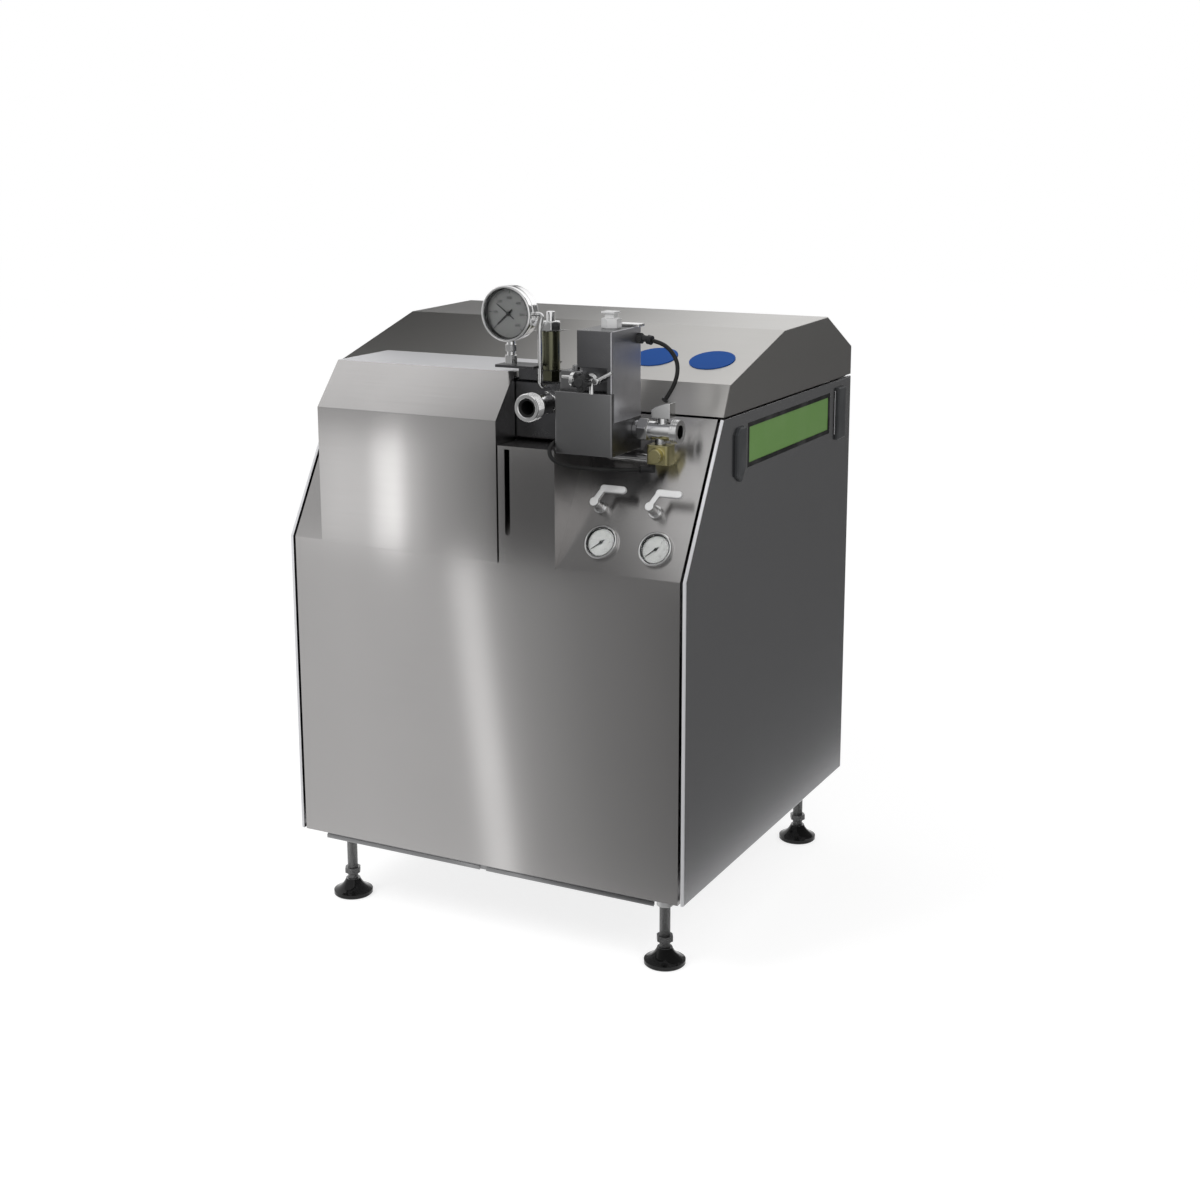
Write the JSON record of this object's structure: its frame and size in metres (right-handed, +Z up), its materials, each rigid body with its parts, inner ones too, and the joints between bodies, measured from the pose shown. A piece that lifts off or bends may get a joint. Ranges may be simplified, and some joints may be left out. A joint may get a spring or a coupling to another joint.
{
  "type": "dairy homogenizer",
  "caption": "High-pressure dairy homogenizer: plunger pump and homogenising valve on a stainless steel cabinet with a hinged hood and levelling feet.",
  "frame": {"origin": "on the floor under the middle of the cabinet", "axes": "+X to the right seen from the front, +Y to the back, +Z up; the front faces -Y"},
  "size_m": [0.867, 0.903, 1.2755],
  "materials": {
    "stainless_panel": "brushed",
    "frame_steel": "satin",
    "foot_black": "gloss",
    "green_plastic": "gloss",
    "blue_plastic": "gloss",
    "black_rubber": "matt",
    "black_plastic": "matt",
    "dark_paint": "satin",
    "polished_steel": "polished",
    "forged_steel": "ground",
    "cast_grey": "painted",
    "motor_aluminium": "painted",
    "brass": "satin",
    "needle_black": "matt",
    "dial_pale": "matt",
    "clear_glass": "clear"
  },
  "bodies": {
    "cabinet": {"frame": "frame_steel", "floor_pan": "stainless_panel", "front_panel": "stainless_panel", "left_side_panel": "stainless_panel", "right_side_panel": "stainless_panel", "side_window": "green_plastic", "window_seal": "black_rubber", "window_bars": "dark_paint", "rear_panel": "stainless_panel", "cable_gland": "black_plastic", "hinge_lower_leaves": "polished_steel", "head_skirt": "stainless_panel", "pump_head": "forged_steel", "valve_caps": "polished_steel", "plunger_glands": "polished_steel", "side_plates": "cast_grey", "crankcase": "cast_grey", "crankcase_cover": "cast_grey", "motor": "motor_aluminium", "drive_belts": "black_rubber", "inlet_union": "polished_steel", "valve_block": "forged_steel", "actuator_block": "forged_steel", "cap_nut": "polished_steel", "actuator_fitting": "black_plastic", "outlet_union": "polished_steel", "brass_valve": "brass", "drain_tube": "polished_steel", "bleed_valve": "polished_steel", "gauge_mount": "forged_steel", "main_gauge_case": "polished_steel", "gauge_tube": "polished_steel", "relief_valve": "polished_steel", "panel_gauge_cases": "polished_steel", "gauge_dials": "dial_pale", "gauge_glasses": "clear_glass", "hand_valve_bodies": "polished_steel", "upper_hose": "black_rubber", "lower_hose": "black_rubber", "hose_ends": "black_plastic"},
    "hood": {"hood": "stainless_panel", "hood_discs": "blue_plastic", "hinge_upper_leaves": "polished_steel"},
    "plunger_cover": {"plunger_cover": "stainless_panel"},
    "plunger_1": {"plunger_1": "polished_steel"},
    "plunger_2": {"plunger_2": "polished_steel"},
    "plunger_3": {"plunger_3": "polished_steel"},
    "driven_pulley": {"driven_pulley": "cast_grey"},
    "motor_pulley": {"motor_pulley": "cast_grey"},
    "main_gauge_needle": {"main_gauge_needle": "needle_black"},
    "left_gauge_needle": {"left_gauge_needle": "needle_black"},
    "right_gauge_needle": {"right_gauge_needle": "needle_black"},
    "left_hand_lever": {"left_hand_lever": "polished_steel"},
    "right_hand_lever": {"right_hand_lever": "polished_steel"},
    "star_knob": {"star_knob": "black_plastic"},
    "bleed_lever": {"bleed_lever": "polished_steel"},
    "foot_front_left": {"foot_front_left": "foot_black"},
    "foot_front_right": {"foot_front_right": "foot_black"},
    "foot_rear_left": {"foot_rear_left": "foot_black"},
    "foot_rear_right": {"foot_rear_right": "foot_black"}
  },
  "joints": [
    {"name": "hood_hinge", "type": "hinge", "parent": "cabinet", "child": "hood", "pos_m": [0, 0.427, 1.04], "axis": [-1, 0, 0], "range_deg": [0, 80]},
    {"name": "cover_off", "type": "slide", "parent": "cabinet", "child": "plunger_cover", "axis": [0, -1, 0], "range_m": [0, 0.3]},
    {"name": "plunger_1_stroke", "type": "slide", "parent": "cabinet", "child": "plunger_1", "axis": [0, 1, 0], "range_m": [0, 0.04]},
    {"name": "plunger_2_stroke", "type": "slide", "parent": "cabinet", "child": "plunger_2", "axis": [0, 1, 0], "range_m": [-0.03, 0.01]},
    {"name": "plunger_3_stroke", "type": "slide", "parent": "cabinet", "child": "plunger_3", "axis": [0, 1, 0], "range_m": [-0.03, 0.01]},
    {"name": "driven_pulley_spin", "type": "hinge", "parent": "cabinet", "child": "driven_pulley", "pos_m": [-0.2975, 0.18, 0.985], "axis": [-1, 0, 0], "continuous": true},
    {"name": "motor_pulley_spin", "type": "hinge", "parent": "cabinet", "child": "motor_pulley", "pos_m": [-0.2975, 0.03, 0.372], "axis": [-1, 0, 0], "continuous": true},
    {"name": "main_gauge_turn", "type": "hinge", "parent": "cabinet", "child": "main_gauge_needle", "pos_m": [0.048, -0.386, 1.224], "axis": [0, 1, 0], "range_deg": [0, 270]},
    {"name": "left_gauge_turn", "type": "hinge", "parent": "cabinet", "child": "left_gauge_needle", "pos_m": [0.248, -0.39538, 0.82054], "axis": [0, 0.8611, -0.5084], "range_deg": [0, 270]},
    {"name": "right_gauge_turn", "type": "hinge", "parent": "cabinet", "child": "right_gauge_needle", "pos_m": [0.358, -0.39656, 0.81854], "axis": [0, 0.8611, -0.5084], "range_deg": [0, 270]},
    {"name": "left_lever_turn", "type": "hinge", "parent": "cabinet", "child": "left_hand_lever", "pos_m": [0.23, -0.38325, 0.89025], "axis": [0, -0.8611, 0.5084], "range_deg": [-90, 0]},
    {"name": "right_lever_turn", "type": "hinge", "parent": "cabinet", "child": "right_hand_lever", "pos_m": [0.341, -0.38266, 0.89125], "axis": [0, -0.8611, 0.5084], "range_deg": [-90, 0]},
    {"name": "star_knob_turn", "type": "hinge", "parent": "cabinet", "child": "star_knob", "pos_m": [0.236, -0.44, 1.118], "axis": [0, -1, 0], "continuous": true},
    {"name": "bleed_lever_turn", "type": "hinge", "parent": "cabinet", "child": "bleed_lever", "pos_m": [0.258, -0.432, 1.119], "axis": [0, 1, 0], "range_deg": [0, 90]},
    {"name": "front_left_level", "type": "slide", "parent": "cabinet", "child": "foot_front_left", "axis": [0, 0, 1], "range_m": [-0.015, 0.015]},
    {"name": "front_right_level", "type": "slide", "parent": "cabinet", "child": "foot_front_right", "axis": [0, 0, 1], "range_m": [-0.015, 0.015]},
    {"name": "rear_left_level", "type": "slide", "parent": "cabinet", "child": "foot_rear_left", "axis": [0, 0, 1], "range_m": [-0.015, 0.015]},
    {"name": "rear_right_level", "type": "slide", "parent": "cabinet", "child": "foot_rear_right", "axis": [0, 0, 1], "range_m": [-0.015, 0.015]}
  ],
  "couplings": [
    {"joint": "motor_pulley_spin", "follows": "driven_pulley_spin", "ratio": 2.1429}
  ]
}
